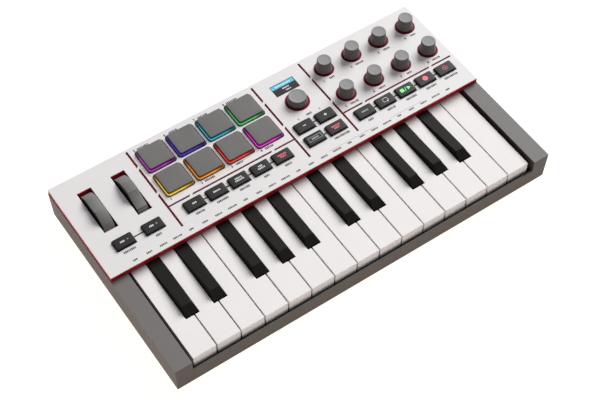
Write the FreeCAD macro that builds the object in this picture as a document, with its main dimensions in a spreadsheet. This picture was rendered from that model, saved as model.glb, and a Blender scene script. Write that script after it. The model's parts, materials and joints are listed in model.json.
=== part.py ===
"""MIDI controller keyboard with 25 mini keys, drum pads, knobs, wheels and buttons.

Lengths are millimetres. In the sheet, depths run back from the case's front edge and heights
run up from the case's underside. The document's origin is the centre of the footprint, level
with the bottom of the rubber feet, so every Y takes case_depth / 2 off and every Z adds the feet.
"""
import FreeCAD, Part
import os
import re
import Sketcher

SIZES = {
    # how far a cutter runs past the face it opens, and a solid sinks into the one it joins
    "past": 1.0,
    # case
    "case_width": 327.2, "case_depth": 178.6, "case_draft": 0.6, "case_wall": 2.5, "floor": 2.5,
    "cheek_width": 13.7, "cheek_height": 25.6, "cheek_roof": 2.0, "lip_height": 14.4, "lip_depth": 1.6,
    "foot_height": 2.0, "foot_radius": 6.0, "foot_inset": 14.0, "foot_recess": 0.8,
    # panel: white plate on the red chassis
    "panel_width": 326.4, "panel_front": 86.1, "panel_top": 30.2, "plate_thick": 0.8, "deck_thick": 1.6,
    "skirt_thick": 2.0, "band_thick": 1.6, "band_drop": 0.6, "groove_width": 1.7, "link_width": 1.2,
    "row_groove_width": 1.4, "groove_front": 95.8, "groove_back": 176.2, "bridge_width": 1.7,
    "bridge_length": 8.0, "bridge_slant": 45.0, "bridge_inset": 19.8, "first_break": 130.6,
    "second_break": 158.3, "row_groove": 116.1, "left_groove": -98.5, "middle_groove": 12.6,
    "right_groove": 56.6, "last_groove_end": 160.2, "collar_drop": 0.15, "band_gap": 0.3,
    # white and black keys
    "key_pitch": 19.7, "key_gap": 1.1, "key_front": 3.6, "key_top": 22.8, "key_bottom": 12.0,
    "key_wall": 1.6, "key_roof": 2.0, "shell_end": 89.5, "side_gap": 0.5, "notch_gap": 0.9,
    "black_width": 10.3, "black_front": 33.7, "black_bottom": 13.0, "black_head_front": 40.4,
    "black_head_width": 7.3, "black_top": 27.4, "black_fall": 4.7,
    "c_sharp_shift": -1.4, "d_sharp_shift": 1.8, "f_sharp_shift": -2.2, "g_sharp_shift": 0.3,
    "a_sharp_shift": 2.5,
    # key hinge
    "hinge_depth": 96.3, "hinge_height": 15.5, "hinge_bar": 2.0, "hinge_bore": 2.1,
    "arm_width": 7.0, "arm_bottom": 12.0, "arm_top": 19.0, "arm_end": 99.0, "hinge_rib": 2.0,
    "rib_length": 7.0,
    # wheels
    "pitch_wheel_x": -141.9, "mod_wheel_x": -113.9, "wheel_depth": 142.6, "wheel_height": 13.0,
    "wheel_radius": 23.5, "wheel_width": 8.9, "wheel_arc": 172.0, "slot_width": 11.5, "slot_length": 41.0,
    "well_wall": 1.2, "well_bottom": 25.0, "dimple_radius": 32.5, "dimple_drop": 1.8, "hub_radius": 5.0,
    "axle_radius": 2.0, "axle_bore": 2.1, "axle_reach": 5.5, "bracket_depth": 20.0, "bracket_top": 19.0,
    "bracket_offset": 9.0, "bracket_thick": 4.0, "middle_bracket": 10.0,
    "pitch_lean": 5.0, "mod_lean": -25.0,
    # knobs
    "knob_x": 70.4, "knob_pitch": 26.25, "knob_back_row": 160.8, "knob_front_row": 130.8,
    "knob_base": 6.6, "knob_waist": 5.9, "knob_head": 5.65, "knob_flare": 3.8, "knob_height": 10.8,
    "knob_ring": 8.1, "knob_lift": 1.0, "spindle_radius": 3.0, "spindle_gap": 0.1,
    "spindle_rise": 1.0, "ring_gap": 0.05,
    "encoder_x": 34.8, "encoder_depth": 145.3, "encoder_base": 7.9, "encoder_waist": 7.4,
    "encoder_head": 7.1, "encoder_flare": 2.8, "encoder_height": 6.5, "encoder_ring": 9.7,
    "bushing_radius": 4.4, "bushing_gap": 0.2, "encoder_body": 11.0, "encoder_body_height": 2.6,
    "encoder_floor": 0.8,
    # buttons
    "button_width": 15.6, "button_depth": 9.6, "button_gap": 0.3, "button_rise": 2.0, "button_travel": 0.8,
    "flange_width": 18.4, "flange_depth": 12.4, "flange_thick": 1.2, "flange_gap": 0.4,
    "pill_size": 4.0, "pill_gap": 0.1,
    "button_row": 107.4, "button_upper_row": 121.6, "button_pitch": 19.2,
    "octave_x": -140.1, "octave_pitch": 24.0, "arp_x": -81.3, "minus_x": 25.1, "undo_x": 71.2,
    # pads
    "pad_x": -82.2, "pad_pitch": 26.2, "pad_back_row": 160.7, "pad_front_row": 134.7, "pad_foot": 23.9,
    "pad_head": 20.4, "pad_rise": 3.4, "pad_gap": 0.2, "pad_corner": 2.6, "pad_sink": 0.5, "mat_margin": 1.6,
    "mat_thick": 1.6, "mat_bottom": 25.0,
    # display and circuit board
    "display_x": 34.8, "display_depth": 162.7, "display_width": 21.2, "display_length": 11.2,
    "display_sink": 0.2, "display_gap": 0.1, "carrier_top": 26.6, "carrier_width": 26.2,
    "carrier_length": 13.8, "board_top": 24.2, "board_thick": 1.6, "board_left": -102.0,
    "board_right": 158.0, "board_front": 97.5, "board_back": 169.8, "tab_left": -151.0, "tab_back": 117.0,
    "post_width": 5.0, "post_inset": 4.0, "post_left": -20.0, "post_right": 50.0,
    # key contacts on the case floor
    "strip_front": 52.0, "strip_back": 66.0, "strip_thick": 1.6, "strip_inset": 3.0,
    "dome_front": 55.0, "dome_back": 63.0, "dome_height": 2.4, "dome_inset": 4.0,
    # sockets in the rear wall
    "usb_x": 60.0, "jack_x": 84.0, "midi_x": 106.0, "jack_radius": 3.2, "jack_height": 14.6,
    "jack_collar": 5.0, "midi_radius": 1.8, "midi_collar": 3.6, "midi_height": 17.6, "usb_height": 20.2,
    "usb_width": 9.0, "usb_tall": 3.2, "usb_wall": 0.4, "usb_reach": 5.0, "usb_back": 1.0,
    "tongue_inset": 1.3, "tongue_thick": 0.7, "tongue_drop": 2.0, "jack_reach": 31.0, "midi_reach": 18.0,
    "socket_wall": 3.0, "socket_side": 1.5, "socket_foot": 1.0, "socket_gap": 1.3,
    "usb_sink": 0.4, "usb_gap": 0.3,
    # screws
    "screw_radius": 1.5, "screw_head": 2.75, "screw_seat": 3.6, "screw_head_height": 1.7, "drive_radius": 1.1,
    "drive_depth": 0.8, "head_gap": 0.35, "shank_gap": 0.2, "screw_boss": 2.8, "boss_gap": 0.1,
    "case_boss": 4.5, "case_boss_top": 6.0, "screw_tip": 13.0,
    "screw_side": 155.5, "screw_front": 92.5, "screw_rear": 172.8, "screw_left": -99.5, "screw_middle": 14.6,
}

NOTES = "cdefgab"
SHARPS = {"c": "c_sharp_shift", "d": "d_sharp_shift", "f": "f_sharp_shift", "g": "g_sharp_shift",
          "a": "a_sharp_shift"}
WHITE_KEYS = 15
FIRST_OCTAVE = 3

HALF_WIDTH = "case_width / 2"
CHEEK_FACE = "(case_width / 2 - cheek_width)"
HALF_PANEL = "panel_width / 2"
DECK_TOP = "(panel_top - plate_thick)"
DECK_BOTTOM = "(panel_top - plate_thick - deck_thick)"
BOARD_BOTTOM = "(board_top - board_thick)"
SUNK_FLOOR = "floor - past"
SOCKET_FACE = "case_depth - case_wall - socket_gap"
# the key well and the cheeks' rooms run this far back, into the rear room
ROOM_OVERLAP = "panel_front + skirt_thick + past"

# name, column and row of every button, left to right
BUTTONS = [
    ("octave_down_button", "octave_x", "button_row"),
    ("octave_up_button", "octave_x + octave_pitch", "button_row"),
    ("arpeggio_button", "arp_x", "button_row"),
    ("latch_button", "arp_x + button_pitch", "button_row"),
    ("note_repeat_button", "arp_x + 2 * button_pitch", "button_row"),
    ("tap_tempo_button", "arp_x + 3 * button_pitch", "button_row"),
    ("pad_bank_button", "arp_x + 4 * button_pitch", "button_row"),
    ("minus_button", "minus_x", "button_upper_row"),
    ("plus_button", "minus_x + button_pitch", "button_upper_row"),
    ("shift_button", "minus_x", "button_row"),
    ("program_button", "minus_x + button_pitch", "button_row"),
    ("undo_button", "undo_x", "button_row"),
    ("loop_button", "undo_x + button_pitch", "button_row"),
    ("play_button", "undo_x + 2 * button_pitch", "button_row"),
    ("record_button", "undo_x + 3 * button_pitch", "button_row"),
    ("automation_button", "undo_x + 4 * button_pitch", "button_row"),
]
# runs of buttons joined by a groove: first column, number of links, spacing, row
BUTTON_LINKS = [
    ("octave_x", 1, "octave_pitch", "button_row"), ("arp_x", 4, "button_pitch", "button_row"),
    ("minus_x", 1, "button_pitch", "button_row"), ("minus_x", 1, "button_pitch", "button_upper_row"),
    ("undo_x", 4, "button_pitch", "button_row"),
]
KNOBS = [(f"knob_{4 * row + column + 1}", f"knob_x + {column} * knob_pitch", depth)
         for row, depth in enumerate(("knob_back_row", "knob_front_row")) for column in range(4)]
PADS = [(f"pad_x + {column} * pad_pitch", depth)
        for depth in ("pad_front_row", "pad_back_row") for column in range(4)]
SCREWS = [("screw_side", "screw_front"), ("-screw_side", "screw_front"), ("screw_side", "screw_rear"),
          ("-screw_side", "screw_rear"), ("screw_left", "screw_rear"), ("screw_middle", "screw_rear")]

doc = FreeCAD.newDocument("MidiKeyboard")
sheet = doc.addObject("Spreadsheet::Sheet", "Sizes")
for row, (alias, value) in enumerate(SIZES.items(), start=1):
    sheet.set(f"A{row}", alias)
    sheet.set(f"B{row}", str(value))
    sheet.setAlias(f"B{row}", alias)
doc.recompute()


# ---- helpers: solids tied to the sheet -------------------------------------------------------

def bind(obj, prop, text):
    """Tie a property to the sheet; every size name in the text becomes that cell."""
    obj.setExpression(prop, re.sub(r"[a-z_]{4,}", lambda word: sheet_name(word.group(0)), text))


def sheet_name(word):
    return f"Sizes.{word}" if word in SIZES else word


def place(obj, x, y, z):
    """Put an object at a width, a depth from the front edge and a height above the underside."""
    bind(obj, "Placement.Base.x", x)
    bind(obj, "Placement.Base.y", f"{y} - case_depth / 2")
    bind(obj, "Placement.Base.z", f"{z} + foot_height")


def box(x, y, z):
    """A box from three (low, high) pairs."""
    solid = doc.addObject("Part::Box", "Box")
    for prop, (low, high) in zip(("Length", "Width", "Height"), (x, y, z)):
        bind(solid, prop, f"({high}) - ({low})")
    place(solid, x[0], y[0], z[0])
    return solid


def rounded_box(x, y, z, radius):
    """A box with its four upright edges rounded."""
    base = box(x, y, z)
    rounded = doc.addObject("Part::Fillet", "Rounded")
    rounded.Base = base
    rounded.Edges = [(edge, radius, radius) for edge in (1, 3, 5, 7)]
    return rounded


def around(centre, size):
    """The (low, high) pair of a span with this centre."""
    return f"{centre} - ({size}) / 2", f"{centre} + ({size}) / 2"


def upright(x, y, radius, z):
    """A cylinder standing along Z."""
    solid = doc.addObject("Part::Cylinder", "Cylinder")
    bind(solid, "Radius", radius)
    bind(solid, "Height", f"({z[1]}) - ({z[0]})")
    place(solid, x, y, z[0])
    return solid


def rod(x, y, z, radius):
    """A cylinder lying along X."""
    solid = doc.addObject("Part::Cylinder", "Rod")
    solid.Placement.Rotation = FreeCAD.Rotation(FreeCAD.Vector(0, 1, 0), 90)
    bind(solid, "Radius", radius)
    bind(solid, "Height", f"({x[1]}) - ({x[0]})")
    place(solid, x[0], y, z)
    return solid


def bore_back(x, y, z, radius):
    """A cylinder lying along Y."""
    solid = doc.addObject("Part::Cylinder", "Bore")
    solid.Placement.Rotation = FreeCAD.Rotation(FreeCAD.Vector(1, 0, 0), -90)
    bind(solid, "Radius", radius)
    bind(solid, "Height", f"({y[1]}) - ({y[0]})")
    place(solid, x, y[0], z)
    return solid


def taper(foot_x, foot_y, head_x, head_y, z):
    """A block whose foot and head are different rectangles, one above the other."""
    solid = doc.addObject("Part::Wedge", "Taper")
    solid.Placement.Rotation = FreeCAD.Rotation(FreeCAD.Vector(1, 0, 0), 90)
    for prop, text in (("Ymin", "0"), ("Ymax", f"({z[1]}) - ({z[0]})"),
                       ("Xmin", foot_x[0]), ("Xmax", foot_x[1]), ("X2min", head_x[0]), ("X2max", head_x[1]),
                       ("Zmin", f"-({foot_y[1]})"), ("Zmax", f"-({foot_y[0]})"),
                       ("Z2min", f"-({head_y[1]})"), ("Z2max", f"-({head_y[0]})")):
        bind(solid, prop, text)
    place(solid, "0", "0", z[0])
    return solid


def join(solids, label=None):
    """One solid from several that overlap or touch."""
    fused = doc.addObject("Part::MultiFuse", "Join")
    fused.Shapes = solids
    return named(fused, label)


def cut(base, tools, label=None):
    """The base with every tool taken away."""
    result = doc.addObject("Part::Cut", "Cut")
    result.Base = base
    result.Tool = tools[0] if len(tools) == 1 else join(tools)
    return named(result, label)


def group(solids, label):
    """Several separate solids kept as one piece."""
    compound = doc.addObject("Part::Compound", "Group")
    compound.Links = solids
    return named(compound, label)


def named(obj, label):
    if label:
        obj.Label = label
        sub_parts.append(obj)
    return obj


sub_parts = []


# ---- keys ------------------------------------------------------------------------------------

def key_edge(index):
    """The line between white keys index - 1 and index."""
    return f"({index} - {WHITE_KEYS} / 2) * key_pitch"


def note_of(index):
    return NOTES[index % len(NOTES)]


def sharp_centre(index):
    """The middle of the black key to the right of white key index."""
    return f"{key_edge(index + 1)} + {SHARPS[note_of(index)]}"


def has_sharp(index):
    """Whether a black key stands to the right of white key index."""
    return 0 <= index < WHITE_KEYS - 1 and note_of(index) in SHARPS


def note_label(index):
    return f"{note_of(index)}{FIRST_OCTAVE + index // len(NOTES)}"


def rear_span(index):
    """Where a white key runs between its black neighbours."""
    clear = "(black_width / 2 + side_gap)"
    low, high = white_span(index)
    if has_sharp(index - 1):
        low = f"{sharp_centre(index - 1)} + {clear}"
    if has_sharp(index):
        high = f"{sharp_centre(index)} - {clear}"
    return low, high


def white_span(index):
    return f"{key_edge(index)} + key_gap / 2", f"{key_edge(index + 1)} - key_gap / 2"


def inset(span):
    """A span with a key's wall taken off both ends."""
    return f"{span[0]} + key_wall", f"{span[1]} - key_wall"


def hinge_arm(centre):
    """The arm that reaches back from a key's shell to the hinge bar."""
    return box(around(centre, "arm_width"), ("shell_end - key_wall", "arm_end"), ("arm_bottom", "arm_top"))


def hinge_hole(centre):
    return rod(around(centre, "arm_width + 2 * past"), "hinge_depth", "hinge_height", "hinge_bore")


def white_key(index):
    """A hollow white key: wide in front, narrower between the black keys."""
    front, rear = white_span(index), rear_span(index)
    middle = f"(({rear[0]}) + ({rear[1]})) / 2"
    notch = "(black_front - notch_gap)"
    tall, hollow = ("key_bottom", "key_top"), ("key_bottom - past", "key_top - key_roof")
    body = join([box(front, ("key_front", notch), tall), box(rear, (f"{notch} - past", "shell_end"), tall),
                 hinge_arm(middle)])
    tools = [box(inset(front), ("key_front + key_wall", f"{notch} - key_wall"), hollow),
             box(inset(rear), (f"{notch} - key_wall - past", "shell_end - key_wall"), hollow),
             hinge_hole(middle)]
    cut(body, tools, f"white_key_{note_label(index)}")


def black_key(index):
    """A black key: hollow body below the white tops, and a tapered crown that falls to the back."""
    centre = sharp_centre(index)
    wide, head = around(centre, "black_width"), around(centre, "black_head_width")
    along = ("black_front", "shell_end")
    crown = taper(wide, along, head, ("black_head_front", "shell_end"), ("key_top", "black_top"))
    fall = box(around(centre, "2 * black_width"), ("black_head_front", "arm_end"), ("black_top", "arm_end"))
    fall.Placement.Rotation = FreeCAD.Rotation(FreeCAD.Vector(-1, 0, 0), SIZES["black_fall"])
    bind(fall, "Placement.Rotation.Angle", "black_fall")
    body = join([box(wide, along, ("black_bottom", "key_top")), cut(crown, [fall]), hinge_arm(centre)])
    hollow = box(inset(wide), inset(along), ("arm_bottom - past", "key_top - key_roof"))
    cut(body, [hollow, hinge_hole(centre)], f"black_key_{note_label(index)}_sharp")


# ---- wheels, knobs, buttons and pads ----------------------------------------------------------

def wheel(label, centre, lean):
    """A wheel that is a sector of a disc with a thumb dimple, on its own axle."""
    disc = doc.addObject("Part::Cylinder", "Sector")
    lying = FreeCAD.Rotation(FreeCAD.Vector(0, 1, 0), 90)
    turn = FreeCAD.Rotation(FreeCAD.Vector(1, 0, 0), 180 - SIZES["wheel_arc"] / 2 - SIZES[lean])
    disc.Placement.Rotation = turn.multiply(lying)
    for prop, text in (("Radius", "wheel_radius"), ("Height", "wheel_width"), ("Angle", "wheel_arc")):
        bind(disc, prop, text)
    place(disc, f"{centre} - wheel_width / 2", "wheel_depth", "wheel_height")
    reach = "(wheel_radius - dimple_drop + dimple_radius)"
    dimple = rod(around(centre, "wheel_width + 2 * past"), f"wheel_depth + {reach} * sin({lean})",
                 f"wheel_height + {reach} * cos({lean})", "dimple_radius")
    hub = rod(around(centre, "wheel_width"), "wheel_depth", "wheel_height", "hub_radius")
    axle = rod(around(centre, "wheel_width + 2 * axle_reach"), "wheel_depth", "wheel_height", "axle_radius")
    join([cut(disc, [dimple]), hub, axle], label)


def knob(label, x, depth, size):
    """A turned cap with a flared foot, on the spindle that drops to its encoder."""
    body = doc.addObject("PartDesign::Body", "KnobBody")
    sketch = body.newObject("Sketcher::SketchObject", "KnobProfile")
    plane = next(feature for feature in body.Origin.OriginFeatures if feature.Role == "XZ_Plane")
    sketch.AttachmentSupport = [(plane, "")]
    sketch.MapMode = "FlatFace"
    base, waist, head = (SIZES[f"{size}_{part}"] for part in ("base", "waist", "head"))
    flare, height, spindle = SIZES[f"{size}_flare"], SIZES[f"{size}_height"], SIZES["spindle_radius"]
    lift = SIZES["knob_lift"]
    drop = SIZES["board_top"] + SIZES["spindle_rise"] - SIZES["panel_top"]
    corners = [(0, drop), (spindle, drop), (spindle, lift), (base, lift), (waist, flare), (head, height),
               (0, height)]
    for start, end in zip(corners, corners[1:] + corners[:1]):
        sketch.addGeometry(Part.LineSegment(FreeCAD.Vector(*start, 0), FreeCAD.Vector(*end, 0)))
    tie_profile(sketch, size)
    turned = body.newObject("PartDesign::Revolution", "KnobTurned")
    turned.Profile = sketch
    turned.ReferenceAxis = (sketch, ["V_Axis"])
    turned.Angle = 360
    place(body, x, depth, "panel_top")
    named(body, label)


def tie_profile(sketch, size):
    """Constrain the knob's seven-line profile and bind its radii and heights to the sheet."""
    lines = 7
    for line in range(lines):
        sketch.addConstraint(Sketcher.Constraint("Coincident", line, 2, (line + 1) % lines, 1))
    for line in (0, 2, 5):
        sketch.addConstraint(Sketcher.Constraint("Horizontal", line))
    for line in (1, 6):
        sketch.addConstraint(Sketcher.Constraint("Vertical", line))
    sketch.addConstraint(Sketcher.Constraint("PointOnObject", 0, 1, -2))
    measures = [("DistanceX", 0, 2, "spindle_radius"), ("DistanceX", 2, 2, f"{size}_base"),
                ("DistanceX", 3, 2, f"{size}_waist"), ("DistanceX", 4, 2, f"{size}_head"),
                ("DistanceY", 3, 1, "knob_lift"), ("DistanceY", 3, 2, f"{size}_flare"),
                ("DistanceY", 4, 2, f"{size}_height")]
    for kind, line, point, text in measures:
        number = sketch.addConstraint(Sketcher.Constraint(kind, -1, 1, line, point, SIZES[text]))
        bind(sketch, f"Constraints[{number}]", text)
    depth = SIZES["panel_top"] - SIZES["board_top"] - SIZES["spindle_rise"]
    number = sketch.addConstraint(Sketcher.Constraint("DistanceY", 0, 1, -1, 1, depth))
    bind(sketch, f"Constraints[{number}]", "panel_top - board_top - spindle_rise")


def button(label, x, depth):
    """A button cap, its retaining flange under the deck and the contact pill below."""
    flange_top = f"({DECK_BOTTOM} - flange_gap)"
    flange_bottom = f"({flange_top} - flange_thick)"
    cap = box(around(x, "button_width"), around(depth, "button_depth"),
              (flange_top, "panel_top + button_rise"))
    flange = box(around(x, "flange_width"), around(depth, "flange_depth"), (flange_bottom, flange_top))
    pill = box(around(x, "pill_size"), around(depth, "pill_size"),
               ("board_top + button_travel + pill_gap", flange_bottom))
    join([cap, flange, pill], label)


def pad_mat():
    """Eight pads moulded on one silicone mat."""
    reach = "(pad_foot / 2 + mat_margin)"
    mat = box((f"pad_x - {reach}", f"pad_x + 3 * pad_pitch + {reach}"),
              (f"pad_front_row - {reach}", f"pad_back_row + {reach}"),
              ("mat_bottom", "mat_bottom + mat_thick"))
    join([mat] + [pad(x, depth) for x, depth in PADS], "pad_mat")


def pad(x, depth):
    """A square pad with rounded corners and a sloping skirt above the faceplate."""
    foot_x, foot_y = around(x, "pad_foot"), around(depth, "pad_foot")
    foot = box(foot_x, foot_y, ("mat_bottom + mat_thick - pad_sink", "panel_top"))
    skirt = taper(foot_x, foot_y, around(x, "pad_head"), around(depth, "pad_head"),
                  ("panel_top", "panel_top + pad_rise"))
    outline = rounded_box(foot_x, foot_y, ("mat_bottom", "panel_top + pad_rise + past"), SIZES["pad_corner"])
    shaped = doc.addObject("Part::Common", "Pad")
    shaped.Base = join([foot, skirt])
    shaped.Tool = outline
    return shaped


# ---- case --------------------------------------------------------------------------------------

def case_shell():
    """The grey tray: floor, front lip, hollow cheeks and rear wall, open on top."""
    side, draft = HALF_WIDTH, "case_draft"
    outer = taper((f"-{side} + {draft}", f"{side} - {draft}"), (draft, f"case_depth - {draft}"),
                  (f"-{side}", side), ("0", "case_depth"), ("0", "cheek_height"))
    open_top = ("floor", "cheek_height + past")
    key_well = box((f"-{CHEEK_FACE}", CHEEK_FACE), ("lip_depth", ROOM_OVERLAP), open_top)
    above_lip = box((f"-{CHEEK_FACE}", CHEEK_FACE), ("-past", "lip_depth + past"),
                    ("lip_height", "cheek_height + past"))
    rear_room = box((f"-{side} + case_wall", f"{side} - case_wall"),
                    ("panel_front + skirt_thick", "case_depth - case_wall"), open_top)
    tools = [key_well, above_lip, rear_room]
    for low, high in ((f"-{side} + case_wall", f"-{CHEEK_FACE} - case_wall"),
                      (f"{CHEEK_FACE} + case_wall", f"{side} - case_wall")):
        tools.append(box((low, high), ("case_wall", ROOM_OVERLAP), ("floor", "cheek_height - cheek_roof")))
    return cut(outer, tools)


def hinge_rail():
    """The bar that all keys clip on, and the ribs that hold it up."""
    bar = rod((f"-{CHEEK_FACE} - past", f"{CHEEK_FACE} + past"), "hinge_depth", "hinge_height", "hinge_bar")
    rib_places = [f"-{CHEEK_FACE}", CHEEK_FACE]
    rib_places += [key_edge(index + 1) for index in range(WHITE_KEYS - 1) if note_of(index) not in SHARPS]
    tall = (SUNK_FLOOR, "hinge_height + hinge_bar")
    ribs = [box(around(x, "hinge_rib"), around("hinge_depth", "rib_length"), tall) for x in rib_places]
    return [bar] + ribs


def board_posts():
    """Pillars under the circuit board."""
    left, right, tab = "board_left + post_inset", "board_right - post_inset", "tab_left + post_inset"
    middle, back = "tab_back + post_inset", "board_back - post_inset"
    places = [(left, middle), (left, back), ("post_left", middle), ("post_left", back),
              ("post_right", middle), (right, middle), (right, back), (tab, "board_front + 2 * post_inset")]
    tall = (SUNK_FLOOR, BOARD_BOTTOM)
    return [box(around(x, "post_width"), around(y, "post_width"), tall) for x, y in places]


def wheel_brackets():
    """Three bearing walls for the two wheels."""
    along, tall = around("wheel_depth", "bracket_depth"), (SUNK_FLOOR, "bracket_top")
    left, right = "pitch_wheel_x - bracket_offset", "mod_wheel_x + bracket_offset"
    between = "(pitch_wheel_x + mod_wheel_x) / 2"
    walls = [box(around(left, "bracket_thick"), along, tall),
             box(around(between, "middle_bracket"), along, tall),
             box(around(right, "bracket_thick"), along, tall)]
    across = (f"{left} - bracket_thick", f"{right} + bracket_thick")
    bore = rod(across, "wheel_depth", "wheel_height", "axle_bore")
    return cut(join(walls), [bore])


def bottom_case():
    """The tray with everything moulded inside it, then its holes."""
    bosses = [upright(x, y, "case_boss", (SUNK_FLOOR, "case_boss_top")) for x, y in SCREWS]
    solid = join([case_shell(), wheel_brackets()] + hinge_rail() + board_posts() + bosses)
    tools = []
    for x, y in SCREWS:
        tools.append(upright(x, y, "screw_head + head_gap", ("-past", "screw_seat")))
        tools.append(upright(x, y, "screw_radius + shank_gap", ("screw_seat - past", "case_boss_top + past")))
    tools += [upright(x, y, "foot_radius", ("-past", "foot_recess")) for x, y in foot_places()]
    wall = ("case_depth - case_wall - past", "case_depth + past")
    tools.append(box(around("usb_x", "usb_width + 2 * usb_gap"), wall,
                     around("usb_height", "usb_tall + 2 * usb_gap")))
    tools.append(bore_back("jack_x", wall, "jack_height", "jack_collar"))
    tools.append(bore_back("midi_x", wall, "midi_height", "midi_collar"))
    cut(solid, tools, "bottom_case")


def foot_places():
    side = "(case_width / 2 - foot_inset)"
    return [(x, y) for x in (side, f"-{side}") for y in ("foot_inset", "case_depth - foot_inset")]


def rubber_feet():
    group([upright(x, y, "foot_radius", ("-foot_height", "foot_recess")) for x, y in foot_places()],
          "rubber_feet")


def case_screws():
    """Self-tapping screws that come up through the floor into the chassis."""
    screws = []
    for x, y in SCREWS:
        head_low = "screw_seat - screw_head_height"
        head = upright(x, y, "screw_head", (head_low, "screw_seat"))
        drive = upright(x, y, "drive_radius", (f"{head_low} - past", f"{head_low} + drive_depth"))
        shank = upright(x, y, "screw_radius", ("screw_seat", "screw_tip"))
        screws.append(join([cut(head, [drive]), shank]))
    group(screws, "case_screws")


# ---- upper chassis and faceplate ---------------------------------------------------------------

def panel_holes(knob_radius, encoder_radius, z):
    """Cutters for the buttons, pads, wheel slots, knobs and display."""
    button_hole = ("button_width + 2 * button_gap", "button_depth + 2 * button_gap")
    holes = [box(around(x, button_hole[0]), around(depth, button_hole[1]), z)
             for _, x, depth in BUTTONS]
    pad_hole = "pad_foot + 2 * pad_gap"
    holes += [rounded_box(around(x, pad_hole), around(depth, pad_hole), z, SIZES["pad_corner"])
              for x, depth in PADS]
    holes += [box(around(x, "slot_width"), around("wheel_depth", "slot_length"), z)
              for x in ("pitch_wheel_x", "mod_wheel_x")]
    holes += [upright(x, depth, knob_radius, z) for _, x, depth in KNOBS]
    holes.append(upright("encoder_x", "encoder_depth", encoder_radius, z))
    holes.append(box(around("display_x", "display_width + 2 * display_gap"),
                     around("display_depth", "display_length + 2 * display_gap"), z))
    return holes


def bridge(x, y, z):
    """A slanted bar that interrupts a groove."""
    bar = box(around(x, "bridge_length"), around(y, "bridge_width"), z)
    bar.Placement.Rotation = FreeCAD.Rotation(FreeCAD.Vector(0, 0, 1), SIZES["bridge_slant"])
    long_half, short_half = "bridge_length / 2", "bridge_width / 2"
    place(bar, f"{x} - {long_half} * cos(bridge_slant) + {short_half} * sin(bridge_slant)",
          f"{y} - {long_half} * sin(bridge_slant) - {short_half} * cos(bridge_slant)", z[0])
    return bar


def grooves(z):
    """Slots through the faceplate that let the red chassis show."""
    slots = []
    for x in ("left_groove", "middle_groove", "right_groove"):
        groove = box(around(x, "groove_width"), ("groove_front", "groove_back"), z)
        slots.append(cut(groove, [bridge(x, "first_break", z), bridge(x, "second_break", z)]))
    for start, end in (("left_groove", "middle_groove"), ("right_groove", "last_groove_end")):
        groove = box((start, end), around("row_groove", "row_groove_width"), z)
        bridges = [bridge(x, "row_groove", z) for x in (f"{start} + bridge_inset", f"{end} - bridge_inset")]
        slots.append(cut(groove, bridges))
    for first, links, spacing, depth in BUTTON_LINKS:
        for link in range(links):
            low = f"{first} + {link} * {spacing} + button_width / 2"
            high = f"{first} + {link + 1} * {spacing} - button_width / 2"
            slots.append(box((low, high), around(depth, "link_width"), z))
    return slots


def top_panel():
    """The thin white faceplate."""
    plate = box((f"-{HALF_PANEL}", HALF_PANEL), ("panel_front", "case_depth"), (DECK_TOP, "panel_top"))
    through = (f"{DECK_TOP} - past", "panel_top + past")
    rings = panel_holes("knob_ring + ring_gap", "encoder_ring + ring_gap", through)
    cut(plate, rings + grooves(through), "top_panel")


def upper_chassis():
    """The red moulding under the faceplate: deck, skirt, front band, wheel wells and knob collars."""
    across, along = (f"-{HALF_PANEL}", HALF_PANEL), ("panel_front", "case_depth")
    deck = box(across, along, (DECK_BOTTOM, DECK_TOP))
    skirt_z = ("cheek_height", DECK_TOP)
    parts = [deck,
             box((f"-{HALF_PANEL}", f"-{HALF_PANEL} + skirt_thick"), along, skirt_z),
             box((f"{HALF_PANEL} - skirt_thick", HALF_PANEL), along, skirt_z),
             box(across, ("case_depth - skirt_thick", "case_depth"), skirt_z),
             box(across, ("panel_front", "panel_front + band_thick"), skirt_z),
             box((f"-{CHEEK_FACE} + band_gap", f"{CHEEK_FACE} - band_gap"),
                 ("panel_front", "panel_front + band_thick"), ("cheek_height - band_drop", DECK_TOP))]
    for x in ("pitch_wheel_x", "mod_wheel_x"):
        parts.append(box(around(x, "slot_width + 2 * well_wall"),
                         around("wheel_depth", "slot_length + 2 * well_wall"), ("well_bottom", DECK_TOP)))
    collar_z = (DECK_BOTTOM, "panel_top - collar_drop")
    parts += [upright(x, depth, "knob_ring", collar_z) for _, x, depth in KNOBS]
    parts.append(upright("encoder_x", "encoder_depth", "encoder_ring", collar_z))
    parts += [upright(x, y, "screw_boss", ("case_boss_top + boss_gap", DECK_BOTTOM)) for x, y in SCREWS]
    neck = "bushing_radius + bushing_gap"
    tools = panel_holes(neck, neck, ("well_bottom - past", "panel_top + past"))
    tools += [upright(x, y, "screw_radius", ("case_boss_top", "screw_tip + past")) for x, y in SCREWS]
    cut(join(parts), tools, "upper_chassis")


# ---- electronics --------------------------------------------------------------------------------

def display_module():
    """The display: backlit cell under the window, and its carrier on the board."""
    glass = box(around("display_x", "display_width"), around("display_depth", "display_length"),
                ("carrier_top", "panel_top - display_sink"))
    carrier = box(around("display_x", "carrier_width"), around("display_depth", "carrier_length"),
                  ("board_top", "carrier_top"))
    join([glass, carrier], "display_module")


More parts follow.
